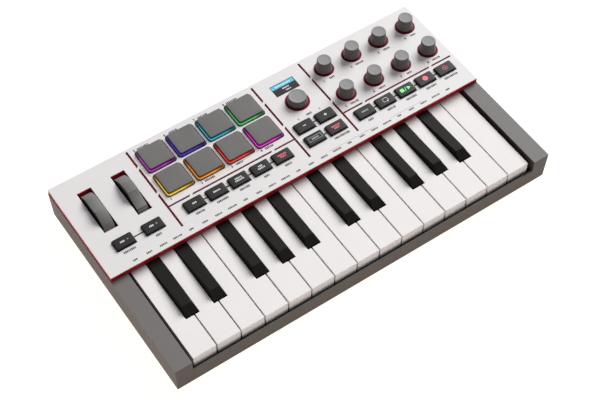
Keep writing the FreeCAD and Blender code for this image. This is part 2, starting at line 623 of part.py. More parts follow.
def main_board():
    """The circuit board with its encoders, contacts, sockets and the key contact strip."""
    flat = (BOARD_BOTTOM, "board_top")
    board = join([box(("board_left", "board_right"), ("board_front", "board_back"), flat),
                  box(("tab_left", "board_left + past"), ("board_front", "tab_back"), flat)])
    encoders = [encoder(x, depth) for _, x, depth in KNOBS] + [encoder("encoder_x", "encoder_depth")]
    sockets = [usb_socket(), round_socket("jack"), round_socket("midi")]
    strip_top = "floor + strip_thick"
    strip = box((f"-{CHEEK_FACE} + strip_inset", f"{CHEEK_FACE} - strip_inset"),
                ("strip_front", "strip_back"),
                ("floor", strip_top))
    domes = box((f"-{CHEEK_FACE} + dome_inset", f"{CHEEK_FACE} - dome_inset"), ("dome_front", "dome_back"),
                (strip_top, f"{strip_top} + dome_height"))
    group([board] + encoders + sockets + [strip, domes], "main_board")


def encoder(x, depth):
    """A rotary encoder: a square body and the threaded neck its spindle turns in."""
    body_top = "board_top + encoder_body_height"
    body = box(around(x, "encoder_body"), around(depth, "encoder_body"), ("board_top", body_top))
    bushing = upright(x, depth, "bushing_radius", (body_top, DECK_TOP))
    tall = ("board_top + encoder_floor", f"{DECK_TOP} + past")
    room = upright(x, depth, "spindle_radius + spindle_gap", tall)
    return cut(join([body, bushing]), [room])


def usb_socket():
    """The USB-C socket: a metal shell with its tongue, seated under the board."""
    low = "board_back - usb_reach"
    shell = box(around("usb_x", "usb_width"), (low, "case_depth - usb_sink"),
                around("usb_height", "usb_tall"))
    room = box(around("usb_x", "usb_width - 2 * usb_wall"), (f"{low} + usb_back", "case_depth"),
               around("usb_height", "usb_tall - 2 * usb_wall"))
    tongue = box(around("usb_x", "usb_width - 2 * tongue_inset"), (low, "case_depth - tongue_drop"),
                 around("usb_height", "tongue_thick"))
    seat = box(around("usb_x", "usb_width"), (low, "board_back - usb_back"), ("usb_height", BOARD_BOTTOM))
    return join([cut(join([shell, seat]), [room]), tongue])


def round_socket(size):
    """A round socket: a block under the board, with its mouth close behind the hole in the rear wall."""
    x, height, collar, radius = (f"{size}_{part}" for part in ("x", "height", "collar", "radius"))
    front = f"case_depth - {size}_reach"
    body = box(around(x, f"2 * ({collar} + socket_side)"), (front, SOCKET_FACE),
               (f"{height} - {collar} - socket_foot", BOARD_BOTTOM))
    bore = bore_back(x, (f"{front} + socket_wall", f"{SOCKET_FACE} + past"), height, radius)
    return cut(body, [bore])


# ---- build, check and write ---------------------------------------------------------------------

bottom_case()
upper_chassis()
top_panel()
display_module()
main_board()
rubber_feet()
case_screws()
for index in range(WHITE_KEYS):
    white_key(index)
    if has_sharp(index):
        black_key(index)
wheel("pitch_wheel", "pitch_wheel_x", "pitch_lean")
wheel("mod_wheel", "mod_wheel_x", "mod_lean")
for label, x, depth in KNOBS:
    knob(label, x, depth, "knob")
knob("encoder_knob", "encoder_x", "encoder_depth", "encoder")
for label, x, depth in BUTTONS:
    button(label, x, depth)
pad_mat()
doc.recompute()

for obj in doc.Objects:
    if "Invalid" in obj.State or "Error" in obj.State:
        raise RuntimeError(f"{obj.Label}: {obj.State}")
os.makedirs("parts", exist_ok=True)
for obj in sub_parts:
    if obj.Shape.isNull() or not obj.Shape.isValid():
        raise RuntimeError(f"{obj.Label}: no valid shape")
    obj.Shape.exportStep(f"parts/{obj.Label}.step")
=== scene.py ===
"""Looks of the MIDI keyboard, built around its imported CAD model.

The frame's nodes keep their own shapes where those are right, and get moulded edges and materials.
Wheels, knobs, buttons and pads are modelled anew, and print, lights and socket trims are added.
Lengths are millimetres. Only the materials and the stage use metres, as the frame does.
"""
import json
import math

import bmesh
import bpy
from mathutils import Matrix, Vector


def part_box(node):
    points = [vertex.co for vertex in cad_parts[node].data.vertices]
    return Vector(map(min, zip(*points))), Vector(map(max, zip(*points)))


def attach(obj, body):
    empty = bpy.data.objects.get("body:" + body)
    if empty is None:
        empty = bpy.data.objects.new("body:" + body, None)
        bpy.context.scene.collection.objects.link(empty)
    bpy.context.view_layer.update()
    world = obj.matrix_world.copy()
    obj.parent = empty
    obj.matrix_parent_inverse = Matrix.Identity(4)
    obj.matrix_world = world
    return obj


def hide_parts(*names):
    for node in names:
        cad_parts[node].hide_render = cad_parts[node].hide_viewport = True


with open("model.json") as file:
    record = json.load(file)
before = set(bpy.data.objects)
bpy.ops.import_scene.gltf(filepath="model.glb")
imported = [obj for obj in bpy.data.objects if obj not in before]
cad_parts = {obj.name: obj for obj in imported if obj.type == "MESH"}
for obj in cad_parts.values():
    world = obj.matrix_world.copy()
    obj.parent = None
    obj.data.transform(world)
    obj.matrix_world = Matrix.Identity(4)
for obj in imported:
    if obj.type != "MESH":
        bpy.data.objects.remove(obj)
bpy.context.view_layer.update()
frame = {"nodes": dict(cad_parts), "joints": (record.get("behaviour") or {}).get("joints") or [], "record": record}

MM = 0.001
CASE = "case"
NODES = frame["nodes"]


# ---- places taken from the frame ---------------------------------------------------------------

def span(node):
    """Lowest and highest corner of a CAD node."""
    low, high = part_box(node)
    return Vector(low) / MM, Vector(high) / MM


def middle(node):
    """The middle of a CAD node's box."""
    low, high = span(node)
    return (low + high) / 2


PLATE_LOW, PLATE_HIGH = span("top_panel")
PLATE_TOP = PLATE_HIGH.z
PLATE_FRONT = PLATE_LOW.y
KNOBS = [f"knob_{number}" for number in range(1, 9)]
WHITE_KEYS = sorted((node for node in NODES if node.startswith("white_key_")),
                    key=lambda node: middle(node).x)
BLACK_KEYS = [node for node in NODES if node.startswith("black_key_")]
BUTTONS = [node for node in NODES if node.endswith("_button")]


# ---- mesh building -----------------------------------------------------------------------------

SHARP_ANGLE = math.radians(35)
TURNED_POINTS = 72
CORNER_STEPS = 8
EDGE_STEPS = 5
QUARTERS = ((1, 1), (-1, 1), (-1, -1), (1, -1))    # corners of a rectangle, anticlockwise
CROWN_RINGS = ((0.7, 0.75), (0.35, 0.95))          # share of the half width, share of the rise
LEAST_STRAIGHT = 0.01                              # a round corner leaves this much of a side
INK_THICK = 0.05


def piece(name, build, body, slot, material=None, smooth=True, replaces=None):
    """A new mesh that rides on a body: build fills a bmesh in millimetres."""
    bm = bmesh.new()
    build(bm)
    bmesh.ops.recalc_face_normals(bm, faces=bm.faces)
    bmesh.ops.scale(bm, vec=(MM, MM, MM), verts=bm.verts)
    mesh = bpy.data.meshes.new(name)
    bm.to_mesh(mesh)
    bm.free()
    obj = bpy.data.objects.new(name, mesh)
    bpy.context.scene.collection.objects.link(obj)
    for face in mesh.polygons:
        face.use_smooth = smooth
    if smooth:
        mesh.set_sharp_from_angle(angle=SHARP_ANGLE)
    mesh.materials.append(material or MATERIALS[slot])
    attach(obj, body)
    if replaces:
        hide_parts(replaces)


def skin(bm, rings, capped=True):
    """Faces between rings of equally many points, foot first, with a cap at each end."""
    loops = [[bm.verts.new(point) for point in ring] for ring in rings]
    count = len(loops[0])
    for lower, upper in zip(loops, loops[1:]):
        for i in range(count):
            j = (i + 1) % count
            bm.faces.new((lower[i], lower[j], upper[j], upper[i]))
    if capped:
        bm.faces.new(loops[0][::-1])
        bm.faces.new(loops[-1])


def round_steps(count):
    """Cosine and sine at equal steps round a circle."""
    return [(math.cos(math.tau * i / count), math.sin(math.tau * i / count))
            for i in range(count)]


def turned(bm, centre, profile):
    """A shape turned about an upright axis, from (radius, height) pairs."""
    skin(bm, [[Vector((centre.x + radius * c, centre.y + radius * s, z))
               for c, s in round_steps(TURNED_POINTS)] for radius, z in profile])


def rounded(centre, half_x, half_y, corner, z):
    """A rectangle with round corners, as one ring."""
    corner = min(corner, half_x - LEAST_STRAIGHT, half_y - LEAST_STRAIGHT)
    points = []
    for quarter, (sx, sy) in enumerate(QUARTERS):
        for i in range(CORNER_STEPS + 1):
            angle = math.pi / 2 * (quarter + i / CORNER_STEPS)
            points.append(Vector((centre.x + sx * (half_x - corner) + corner * math.cos(angle),
                                  centre.y + sy * (half_y - corner) + corner * math.sin(angle),
                                  z)))
    return points


def squares(centre, profile):
    """Square rings with round corners, from (half width, corner, height) triples."""
    return [rounded(centre, half, half, corner, z) for half, corner, z in profile]


def soft_top(centre, half_x, half_y, corner, top, edge, crown):
    """Rings that round a block's upper edge and close it with a slightly crowned top."""
    rings = []
    for i in range(EDGE_STEPS + 1):
        angle = math.pi / 2 * i / EDGE_STEPS
        inset = edge * (1 - math.cos(angle))
        rings.append(rounded(centre, half_x - inset, half_y - inset, corner - inset / 2,
                             top - crown - edge * (1 - math.sin(angle))))
    for share, rise in CROWN_RINGS:
        rings.append(rounded(centre, half_x * share, half_y * share, corner * share,
                             top - crown * (1 - rise)))
    return rings


def slab(bm, points, z, thick=INK_THICK):
    """A flat plate with this outline, from z up."""
    low = [bm.verts.new((x, y, z)) for x, y in points]
    high = [bm.verts.new((x, y, z + thick)) for x, y in points]
    bm.faces.new(low[::-1])
    bm.faces.new(high)
    for i in range(len(points)):
        j = (i + 1) % len(points)
        bm.faces.new((low[i], low[j], high[j], high[i]))


def bar(bm, x, y, width, depth, z, thick=INK_THICK):
    """A flat rectangle about a centre."""
    slab(bm, [(x - width / 2, y - depth / 2), (x + width / 2, y - depth / 2),
              (x + width / 2, y + depth / 2), (x - width / 2, y + depth / 2)], z, thick)


# ---- materials ---------------------------------------------------------------------------------
# Colours are linear. Noise scales are per metre, and bump distances are metres.

SOCKET_REACH = 20.0    # how far in from the rear the dark sockets stand on the green board


class Nodes:
    """Short names for adding shader nodes to one material."""

    def __init__(self, name):
        self.material = bpy.data.materials.new(name)
        self.material.use_nodes = True
        self.tree = self.material.node_tree
        self.shader = self.tree.nodes["Principled BSDF"]
        self.coordinates = self.add("ShaderNodeTexCoord")

    def add(self, kind, **settings):
        node = self.tree.nodes.new(kind)
        for key, value in settings.items():
            setattr(node, key, value)
        return node

    def link(self, source, target):
        self.tree.links.new(source, target)

    def set(self, socket, value):
        self.shader.inputs[socket].default_value = value

    def feed(self, source, socket):
        self.link(source, self.shader.inputs[socket])

    def noise(self, scale, detail=3.0):
        node = self.add("ShaderNodeTexNoise")
        node.inputs["Scale"].default_value = scale
        node.inputs["Detail"].default_value = detail
        node.inputs["Roughness"].default_value = 0.55
        self.link(self.coordinates.outputs["Object"], node.inputs["Vector"])
        return node.outputs["Fac"]

    def ramp(self, factor, stops):
        """Colours by position: stops are (position, colour)."""
        node = self.add("ShaderNodeValToRGB")
        ramp = node.color_ramp
        while len(ramp.elements) < len(stops):
            ramp.elements.new(0.5)
        for element, (position, colour) in zip(ramp.elements, stops):
            element.position = position
            element.color = (*colour, 1.0)
        self.link(factor, node.inputs["Fac"])
        return node.outputs["Color"]

    def clouds(self, factor, dark, light):
        """Two colours mixed by a noise."""
        return self.ramp(factor, [(0.3, dark), (0.7, light)])

    def spread(self, factor, low, high, from_low=0.3, from_high=0.7):
        """A factor stretched to run from low to high."""
        node = self.add("ShaderNodeMapRange")
        limits = {"From Min": from_low, "From Max": from_high, "To Min": low, "To Max": high}
        for name, value in limits.items():
            node.inputs[name].default_value = value
        self.link(factor, node.inputs["Value"])
        return node.outputs["Result"]

    def split(self, output):
        """The X, Y and Z of a texture coordinate."""
        node = self.add("ShaderNodeSeparateXYZ")
        self.link(self.coordinates.outputs[output], node.inputs["Vector"])
        return node.outputs

    def math(self, operation, *values):
        node = self.add("ShaderNodeMath", operation=operation)
        for socket, value in zip(node.inputs, values):
            if isinstance(value, (int, float)):
                socket.default_value = value
            else:
                self.link(value, socket)
        return node.outputs["Value"]

    def bump(self, height, strength, distance):
        node = self.add("ShaderNodeBump")
        node.inputs["Strength"].default_value = strength
        node.inputs["Distance"].default_value = distance
        self.link(height, node.inputs["Height"])
        self.feed(node.outputs["Normal"], "Normal")


def shade(colour, factor):
    """A colour made darker or lighter."""
    return tuple(min(1.0, channel * factor) for channel in colour)


def moulded(name, colour, roughness, grain=2600.0, depth=0.00003, strength=0.35, mottle=0.05,
            specular=0.5, gloss_range=0.06):
    """Moulded plastic or rubber: spark-eroded grain, faint clouding and uneven gloss."""
    nodes = Nodes(name)
    nodes.feed(nodes.clouds(nodes.noise(45.0), shade(colour, 1 - mottle),
                            shade(colour, 1 + mottle)), "Base Color")
    fine = nodes.noise(grain, detail=2.0)
    nodes.feed(nodes.spread(fine, roughness - gloss_range, roughness + gloss_range), "Roughness")
    nodes.bump(fine, strength, depth)
    nodes.set("Specular IOR Level", specular)
    return nodes.material


def two_tone(name, side_shading, facing_shading, roughness, axis="Z", specular=0.4,
             turns=(0.75, 0.98)):
    """Plastic with painted light and shade: faces across one axis get another tone than its other sides.

    The darker tone is painted shade and the lighter one painted light, for how the light falls on
    these faces. Upward faces only for Z, both ways for X. The tones blend as the normal's part along
    the axis goes through the turns.
    """
    nodes = Nodes(name)
    facing = nodes.split("Normal")[axis]
    if axis != "Z":
        facing = nodes.math("ABSOLUTE", facing)
    share = nodes.spread(facing, 0.0, 1.0, *turns)
    cloud = nodes.spread(nodes.noise(60.0), -0.04, 0.04)
    nodes.feed(nodes.ramp(nodes.math("ADD", share, cloud),
                          [(0.0, side_shading), (1.0, facing_shading)]), "Base Color")
    fine = nodes.noise(1500.0, detail=2.0)
    nodes.feed(nodes.spread(fine, roughness - 0.06, roughness + 0.06), "Roughness")
    nodes.bump(fine, 0.3, 0.00004)
    nodes.set("Specular IOR Level", specular)
    return nodes.material


def metal(name, colour, roughness):
    """Turned or rolled metal with fine directional scratches."""
    nodes = Nodes(name)
    nodes.set("Metallic", 1.0)
    mapping = nodes.add("ShaderNodeMapping")
    mapping.inputs["Scale"].default_value = (900.0, 900.0, 9000.0)
    nodes.link(nodes.coordinates.outputs["Object"], mapping.inputs["Vector"])
    texture = nodes.add("ShaderNodeTexNoise")
    nodes.link(mapping.outputs["Vector"], texture.inputs["Vector"])
    scratches = texture.outputs["Fac"]
    nodes.feed(nodes.clouds(scratches, shade(colour, 0.85), shade(colour, 1.1)), "Base Color")
    nodes.feed(nodes.spread(scratches, roughness - 0.08, roughness + 0.08), "Roughness")
    nodes.bump(scratches, 0.15, 0.00002)
    return nodes.material


def glowing(name, colour, strength):
    """Backlit print or a lit pixel area, a little uneven as a diffuser is."""
    nodes = Nodes(name)
    tint = nodes.clouds(nodes.noise(700.0), shade(colour, 0.88), colour)
    nodes.feed(tint, "Base Color")
    nodes.feed(tint, "Emission Color")
    nodes.set("Emission Strength", strength)
    nodes.set("Roughness", 0.5)
    return nodes.material


def pad_light(name, colour):
    """A pad's translucent skirt: a bright line round it, dimmer towards the right and back."""
    nodes = Nodes(name)
    place = nodes.split("Generated")
    farther = nodes.math("MAXIMUM", place["X"], place["Y"])
    along = nodes.spread(farther, 1.0, 0.14, from_low=0.62, from_high=0.95)
    rise = nodes.spread(place["Z"], 0.08, 1.0, from_low=0.64, from_high=0.77)
    fall = nodes.spread(place["Z"], 1.0, 0.1, from_low=0.80, from_high=0.96)
    cloud = nodes.spread(nodes.noise(420.0), 0.88, 1.05)
    line = nodes.math("MULTIPLY", rise, fall)
    glow = nodes.math("MULTIPLY", nodes.math("MULTIPLY", along, line), cloud)
    tint = nodes.ramp(glow, [(0.0, shade(colour, 0.1)), (0.55, shade(colour, 0.75)),
                             (1.0, shade(colour, 1.5))])
    nodes.feed(tint, "Base Color")
    nodes.feed(tint, "Emission Color")
    nodes.feed(nodes.math("MULTIPLY", glow, 0.8), "Emission Strength")
    nodes.set("Roughness", 0.42)
    return nodes.material


def circuit_board():
    """Green solder mask with copper tracks, and dark plastic for the sockets along the rear."""
    nodes = Nodes("circuit_board")
    tracks = nodes.add("ShaderNodeTexBrick")
    tracks.inputs["Scale"].default_value = 120.0
    tracks.inputs["Mortar Size"].default_value = 0.04
    tracks.inputs["Color1"].default_value = (0.01, 0.11, 0.045, 1)
    tracks.inputs["Color2"].default_value = (0.012, 0.14, 0.055, 1)
    tracks.inputs["Mortar"].default_value = (0.02, 0.22, 0.09, 1)
    nodes.link(nodes.coordinates.outputs["Object"], tracks.inputs["Vector"])
    at_rear = nodes.math("GREATER_THAN", nodes.split("Object")["Y"],
                         (PLATE_HIGH.y - SOCKET_REACH) * MM)
    mix = nodes.add("ShaderNodeMix", data_type="RGBA")
    nodes.link(at_rear, mix.inputs["Factor"])
    nodes.link(tracks.outputs["Color"], mix.inputs["A"])
    nodes.link(nodes.clouds(nodes.noise(900.0), (0.012, 0.012, 0.013), (0.02, 0.02, 0.021)),
               mix.inputs["B"])
    nodes.feed(mix.outputs["Result"], "Base Color")
    nodes.feed(nodes.spread(nodes.noise(500.0), 0.35, 0.5), "Roughness")
    nodes.bump(tracks.outputs["Fac"], 0.3, 0.00005)
    return nodes.material


def display_glass():
    """Dark gloss window with faint smudges."""
    nodes = Nodes("display_glass")
    smudge = nodes.noise(160.0)
    nodes.feed(nodes.clouds(smudge, (0.022, 0.018, 0.019), (0.032, 0.026, 0.028)), "Base Color")
    nodes.feed(nodes.spread(smudge, 0.3, 0.42), "Roughness")
    nodes.set("Specular IOR Level", 0.2)
    nodes.bump(nodes.noise(60.0), 0.05, 0.00002)
    return nodes.material


MATERIALS = {
    # Painted shade: the case's front and side faces are painted darker and warmer than its top.
    "case_grey": two_tone("case_grey", (0.068, 0.052, 0.039), (0.162, 0.154, 0.150), 0.5,
                          specular=0.25, turns=(0.5, 0.95)),
    # Painted shade: the red chassis's upward faces, such as the collars round the knobs and the floors of the
    # grooves, are painted darker than its sides, for the shade in these recesses.
    "chassis_red": two_tone("chassis_red", (0.46, 0.005, 0.010), (0.17, 0.005, 0.012), 0.55,
                            specular=0.12),
    "plate_white": moulded("plate_white", (0.72, 0.70, 0.705), 0.5, grain=2800.0, mottle=0.012,
                           specular=0.3),
    "key_white": moulded("key_white", (0.80, 0.775, 0.77), 0.6, grain=300.0, depth=0.00001,
                         strength=0.03, mottle=0.012, specular=0.15, gloss_range=0.015),
    # Painted shade: the black keys' sides are painted darker than their tops.
    "key_black": two_tone("key_black", (0.005, 0.0045, 0.004), (0.0135, 0.012, 0.011), 0.5,
                          specular=0.09, turns=(0.4, 0.9)),
    # Painted shade: the wheels' side faces are painted near black, unlike their grey rims.
    "wheel_grey": two_tone("wheel_grey", (0.184, 0.178, 0.171), (0.006, 0.006, 0.006), 0.6,
                           axis="X", specular=0.25),
    # Painted light and shade: the knob caps' tops are painted lighter than their sides.
    "knob_grey": two_tone("knob_grey", (0.13, 0.122, 0.118), (0.255, 0.25, 0.255), 0.62),
    # Painted shade: the buttons' sides are painted near black, darker than their tops.
    "button_black": two_tone("button_black", (0.004, 0.004, 0.004), (0.018, 0.017, 0.0165), 0.5,
                             specular=0.25),
    "pad_grey": moulded("pad_grey", (0.150, 0.141, 0.141), 0.68, grain=1300.0, depth=0.00005,
                        specular=0.3),
    "rubber_black": moulded("rubber_black", (0.02, 0.02, 0.02), 0.8, grain=1200.0,
                            depth=0.00006),
    "screw_steel": metal("screw_steel", (0.42, 0.42, 0.43), 0.35),
    "socket_metal": metal("socket_metal", (0.6, 0.6, 0.6), 0.3),
    "board": circuit_board(),
    "display": display_glass(),
    "ink": moulded("ink", (0.03, 0.028, 0.028), 0.6, mottle=0.1, specular=0.2),
    "ink_white": glowing("ink_white", (0.75, 0.75, 0.75), 0.0),
    "ink_pale": glowing("ink_pale", (0.42, 0.43, 0.42), 0.0),
    "lit_red": glowing("lit_red", (0.72, 0.10, 0.14), 0.3),
    "lit_dot": glowing("lit_dot", (0.82, 0.08, 0.13), 0.55),
    "lit_green": glowing("lit_green", (0.12, 0.9, 0.2), 0.75),
    "screen_cyan": glowing("screen_cyan", (0.04, 0.36, 0.48), 0.55),
    "screen_white": glowing("screen_white", (0.55, 0.62, 0.66), 0.35),
}
FRONT_PAD_COLOURS = [(0.72, 0.42, 0.03), (0.75, 0.22, 0.02), (0.68, 0.04, 0.03),
                     (0.62, 0.03, 0.50)]
BACK_PAD_COLOURS = [(0.33, 0.03, 0.36), (0.055, 0.03, 0.42), (0.02, 0.34, 0.42),
                    (0.06, 0.42, 0.10)]


# ---- CAD nodes that keep their shape -----------------------------------------------------------

WELD_DISTANCE = 0.002
EDGE_ANGLE = math.radians(40)
FINISHES = [("bottom_case", "case_grey", 0.5), ("upper_chassis", "chassis_red", 0.15),
            ("top_panel", "plate_white", 0.15), ("display_module", "display", 0.1),
            ("main_board", "board", 0.1), ("rubber_feet", "rubber_black", 0.4),
            ("case_screws", "screw_steel", 0.2)]
FINISHES += [(key, "key_white", 0.45) for key in WHITE_KEYS]
FINISHES += [(key, "key_black", 0.4) for key in BLACK_KEYS]


def finish_node(node, material, edge):
    """Gives a CAD node its material and breaks its sharp edges."""
    obj = NODES[node]
    for slot in obj.material_slots:
        slot.material = MATERIALS[material]
    obj.modifiers.new("Weld", "WELD").merge_threshold = WELD_DISTANCE * MM
    bevel = obj.modifiers.new("Moulded_edges", "BEVEL")
    bevel.width = edge * MM
    bevel.segments = 3
    bevel.limit_method = "ANGLE"
    bevel.angle_limit = EDGE_ANGLE
    obj.modifiers.new("Flat_faces", "WEIGHTED_NORMAL").keep_sharp = True


for node, material, edge in FINISHES:
    finish_node(node, material, edge)


# ---- wheels ------------------------------------------------------------------------------------

WHEEL_RADIUS = 23.5
WHEEL_HALF = 4.45                  # half of the rim's width
WHEEL_CHAMFER = 0.7
WHEEL_BAND = 7.0                   # depth of the flat band on each side of the rim
WHEEL_ARC = math.radians(172)
WHEEL_STEPS = 344
DIMPLE_RADIUS = 32.5
DIMPLE_DROP = 1.8
RIB_PITCH = 4.2                    # degrees from groove to groove
RIB_DEPTH = 0.26
RIB_HALF = 0.5                     # a groove is where the ribs' cosine wave is above this
BOSS_RADIUS = 5.0
BOSS_SINK = 0.25
AXLE_RADIUS = 2.0
AXLE_CHAMFER = 0.3
AXLE_POINTS = 40
# How far each dimple leans back from upright at rest, and the stretches of rim with ribs, which
# are measured from the dimple's middle. All in degrees.
WHEELS = {"pitch_wheel": (5.0, [(-70, -44), (19, 22)]),
          "mod_wheel": (-25.0, [(-44, -18), (18, 38)])}


def wheel_radius(turn, ribbed):
    """The rim's radius at an angle from its middle: a thumb dimple, then ribs where wanted."""
    reach = WHEEL_RADIUS - DIMPLE_DROP + DIMPLE_RADIUS
    sideways = reach * math.sin(turn)
    if abs(sideways) < DIMPLE_RADIUS:
        dimple = reach * math.cos(turn) - math.sqrt(DIMPLE_RADIUS ** 2 - sideways ** 2)
        if dimple < WHEEL_RADIUS - 0.001:
            return dimple
    degrees = math.degrees(turn)
    if not any(low <= degrees <= high for low, high in ribbed):
        return WHEEL_RADIUS
    wave = math.cos(math.tau * degrees / RIB_PITCH)
    return WHEEL_RADIUS - RIB_DEPTH * max(0.0, wave - RIB_HALF) / (1 - RIB_HALF)


def wheel_section():
    """Across the rim from side to side: (x, depth below the rim's radius)."""
    right = [(WHEEL_HALF - WHEEL_CHAMFER, 0.0),
             (WHEEL_HALF - WHEEL_CHAMFER * 0.3, WHEEL_CHAMFER * 0.3),
             (WHEEL_HALF, WHEEL_CHAMFER), (WHEEL_HALF, WHEEL_BAND)]
    return [(-x, drop) for x, drop in reversed(right)] + [(0.0, 0.0)] + right


def axle_end(bm, axle, side, reach):
    """The hub boss and the round axle end on one side of a wheel."""
    face = axle.x + side * WHEEL_HALF
    profile = ((BOSS_RADIUS, face - side * BOSS_SINK), (BOSS_RADIUS, face), (AXLE_RADIUS, face),
               (AXLE_RADIUS, reach - side * AXLE_CHAMFER), (AXLE_RADIUS - AXLE_CHAMFER, reach))
    skin(bm, [[Vector((x, axle.y + radius * c, axle.z + radius * s))
               for c, s in round_steps(AXLE_POINTS)] for radius, x in profile])


def wheel(node, lean, ribbed):
    """A ribbed thumb wheel, a little under half a disc, with the ends of its axle."""
    low, high = span(node)
    joint = next(joint for joint in frame["joints"] if joint["child"] == node)
    axle = Vector(joint["pos_m"]) / MM
    section = wheel_section()

    def row_at(bm, share):
        turn = WHEEL_ARC * (share - 0.5)
        radius = wheel_radius(turn, ribbed)
        angle = turn + math.radians(lean)
        return [bm.verts.new((axle.x + x, axle.y + (radius - drop) * math.sin(angle),
                              axle.z + (radius - drop) * math.cos(angle)))
                for x, drop in section]

    def build(bm):
        rows = [row_at(bm, i / WHEEL_STEPS) for i in range(WHEEL_STEPS + 1)]
        for row, following in zip(rows, rows[1:]):
            for i in range(len(section) - 1):
                bm.faces.new((row[i], row[i + 1], following[i + 1], following[i]))
        left, right = (bm.verts.new((axle.x + side * WHEEL_HALF, axle.y, axle.z))
                       for side in (-1, 1))
        for row, following in zip(rows, rows[1:]):
            bm.faces.new((row[0], following[0], left))
            bm.faces.new((following[-1], row[-1], right))
        bm.faces.new(rows[0] + [right, left])
        bm.faces.new(rows[-1][::-1] + [left, right])
        axle_end(bm, axle, -1, low.x)
        axle_end(bm, axle, 1, high.x)

    piece(node + "_rim", build, node, "wheel_grey", replaces=node)


for node, (lean, ribbed) in WHEELS.items():
    wheel(node, lean, ribbed)


# ---- knobs -------------------------------------------------------------------------------------

KNOB_LIFT = 1.0                    # the cap's foot stands this far above the plate
STEM_RADIUS = 3.0
FOOT_EDGE = 0.15
FOOT_HEIGHT = 0.45
FLARE_STEPS = 12
FLARE_POWER = 3.4
HEAD_EDGE = 0.5
RIM_WIDTH = 0.9
RIM_SLOPE = 0.2
DISH_DEPTH = 0.08
SMALL_KNOB = {"base": 6.6, "waist": 5.9, "head": 5.65, "height": 10.8, "flare": 3.05,
              "grip": 2.45}
LARGE_KNOB = {"base": 7.9, "waist": 7.4, "head": 7.1, "height": 6.5, "flare": 2.05,
              "grip": 1.295}


def knob(node, base, waist, head, height, flare, grip):
    """A soft-touch cap: thin foot, concave flare, nearly straight grip and a rimmed top.

    Base, waist and head are radii, height is above the plate, flare is how high the flare goes
    above the foot, and grip is how far below the top the cap starts to narrow to its head.
    """
    foot = PLATE_TOP + KNOB_LIFT
    top = PLATE_TOP + height
    profile = [(STEM_RADIUS, span(node)[0].z), (STEM_RADIUS, foot), (base - FOOT_EDGE, foot),
               (base, foot + FOOT_EDGE), (base, foot + FOOT_HEIGHT)]
    for i in range(1, FLARE_STEPS + 1):
        share = i / FLARE_STEPS
        profile.append((waist + (base - waist) * (1 - share) ** FLARE_POWER,
                        foot + FOOT_HEIGHT + flare * share))
    profile.append((head + (waist - head) * 0.3, top - grip))
    for i in range(EDGE_STEPS + 1):
        angle = math.pi / 2 * i / EDGE_STEPS
        profile.append((head - HEAD_EDGE + HEAD_EDGE * math.cos(angle),
                        top - HEAD_EDGE + HEAD_EDGE * math.sin(angle)))
    profile += [(head - RIM_WIDTH, top),
                (head - RIM_WIDTH - RIM_SLOPE, top - DISH_DEPTH * 0.75),
                (head * 0.5, top - DISH_DEPTH), (0.4, top - DISH_DEPTH)]
    centre = middle(node)
    piece(node + "_cap", lambda bm: turned(bm, centre, profile), node, "knob_grey",
          replaces=node)


for node in KNOBS:
    knob(node, **SMALL_KNOB)
knob("encoder_knob", **LARGE_KNOB)


# ---- buttons -----------------------------------------------------------------------------------

CAP_HALF_X, CAP_HALF_Y = 7.8, 4.8
CAP_CORNER = 0.9
CAP_DRAFT = 0.12                   # how much the cap narrows above the plate
CAP_EDGE = 0.45
CAP_CROWN = 0.08
FLANGE_HALF_X, FLANGE_HALF_Y = 9.2, 6.2
FLANGE_CORNER = 1.0
FLANGE_DEPTH = 2.8                 # from the plate's top down to the flange
FLANGE_THICK = 1.2
PILL_HALF = 2.0
PILL_CORNER = 0.4


def button(node):
    """A rubber cap with round corners, over its flange and contact pill."""
    low, high = span(node)
    centre = middle(node)
    flange_top = PLATE_TOP - FLANGE_DEPTH
    flange_foot = flange_top - FLANGE_THICK
    rings = [rounded(centre, PILL_HALF, PILL_HALF, PILL_CORNER, low.z),
             rounded(centre, PILL_HALF, PILL_HALF, PILL_CORNER, flange_foot),
             rounded(centre, FLANGE_HALF_X, FLANGE_HALF_Y, FLANGE_CORNER, flange_foot),
             rounded(centre, FLANGE_HALF_X, FLANGE_HALF_Y, FLANGE_CORNER, flange_top),
             rounded(centre, CAP_HALF_X, CAP_HALF_Y, CAP_CORNER, flange_top),
             rounded(centre, CAP_HALF_X, CAP_HALF_Y, CAP_CORNER, PLATE_TOP)]
    rings += soft_top(centre, CAP_HALF_X - CAP_DRAFT, CAP_HALF_Y - CAP_DRAFT, CAP_CORNER, high.z,
                      CAP_EDGE, CAP_CROWN)
    piece(node + "_cap", lambda bm: skin(bm, rings), node, "button_black", replaces=node)


for node in BUTTONS:
    button(node)


# ---- pads --------------------------------------------------------------------------------------

PAD_COLUMNS = 4
FOOT_HALF = 11.95                  # half the width of a pad's lit skirt at its foot
HEAD_HALF = 10.2                   # half the width of a pad's grey top, without its lip
FOOT_CORNER = 2.6
HEAD_CORNER = 1.6
LIP = 0.2
NECK_INSET = 1.2
NECK_FOOT = 1.5                    # from the plate's top down to the neck's foot
NECK_TOP = 1.3                     # from the pad's top down to the neck's top
LIP_FOOT = 0.75                    # from the pad's top down to the lip's full width
TOP_EDGE = 0.35
TOP_CROWN = 0.1
SKIRT_DROP = 0.8                   # from the pad's top down to the skirt's top
SKIRT_STEP = 0.4                   # chamfer of the skirt where it comes out of the plate
SKIRT_BULGE, SKIRT_EDGE = 0.55, 0.25
SKIRT_RIM, SKIRT_WELL = 0.3, 1.0   # from the top's half width out to the rim, and in to the well
MAT_MARGIN = 1.6
MAT_THICK = 1.6
MAT_CORNER = 2.0
MAT_EDGE = 0.2
MAT_LOW, MAT_HIGH = span("pad_mat")
MAT_TOP = MAT_LOW.z + MAT_THICK
PAD_INSET = MAT_MARGIN + FOOT_HALF


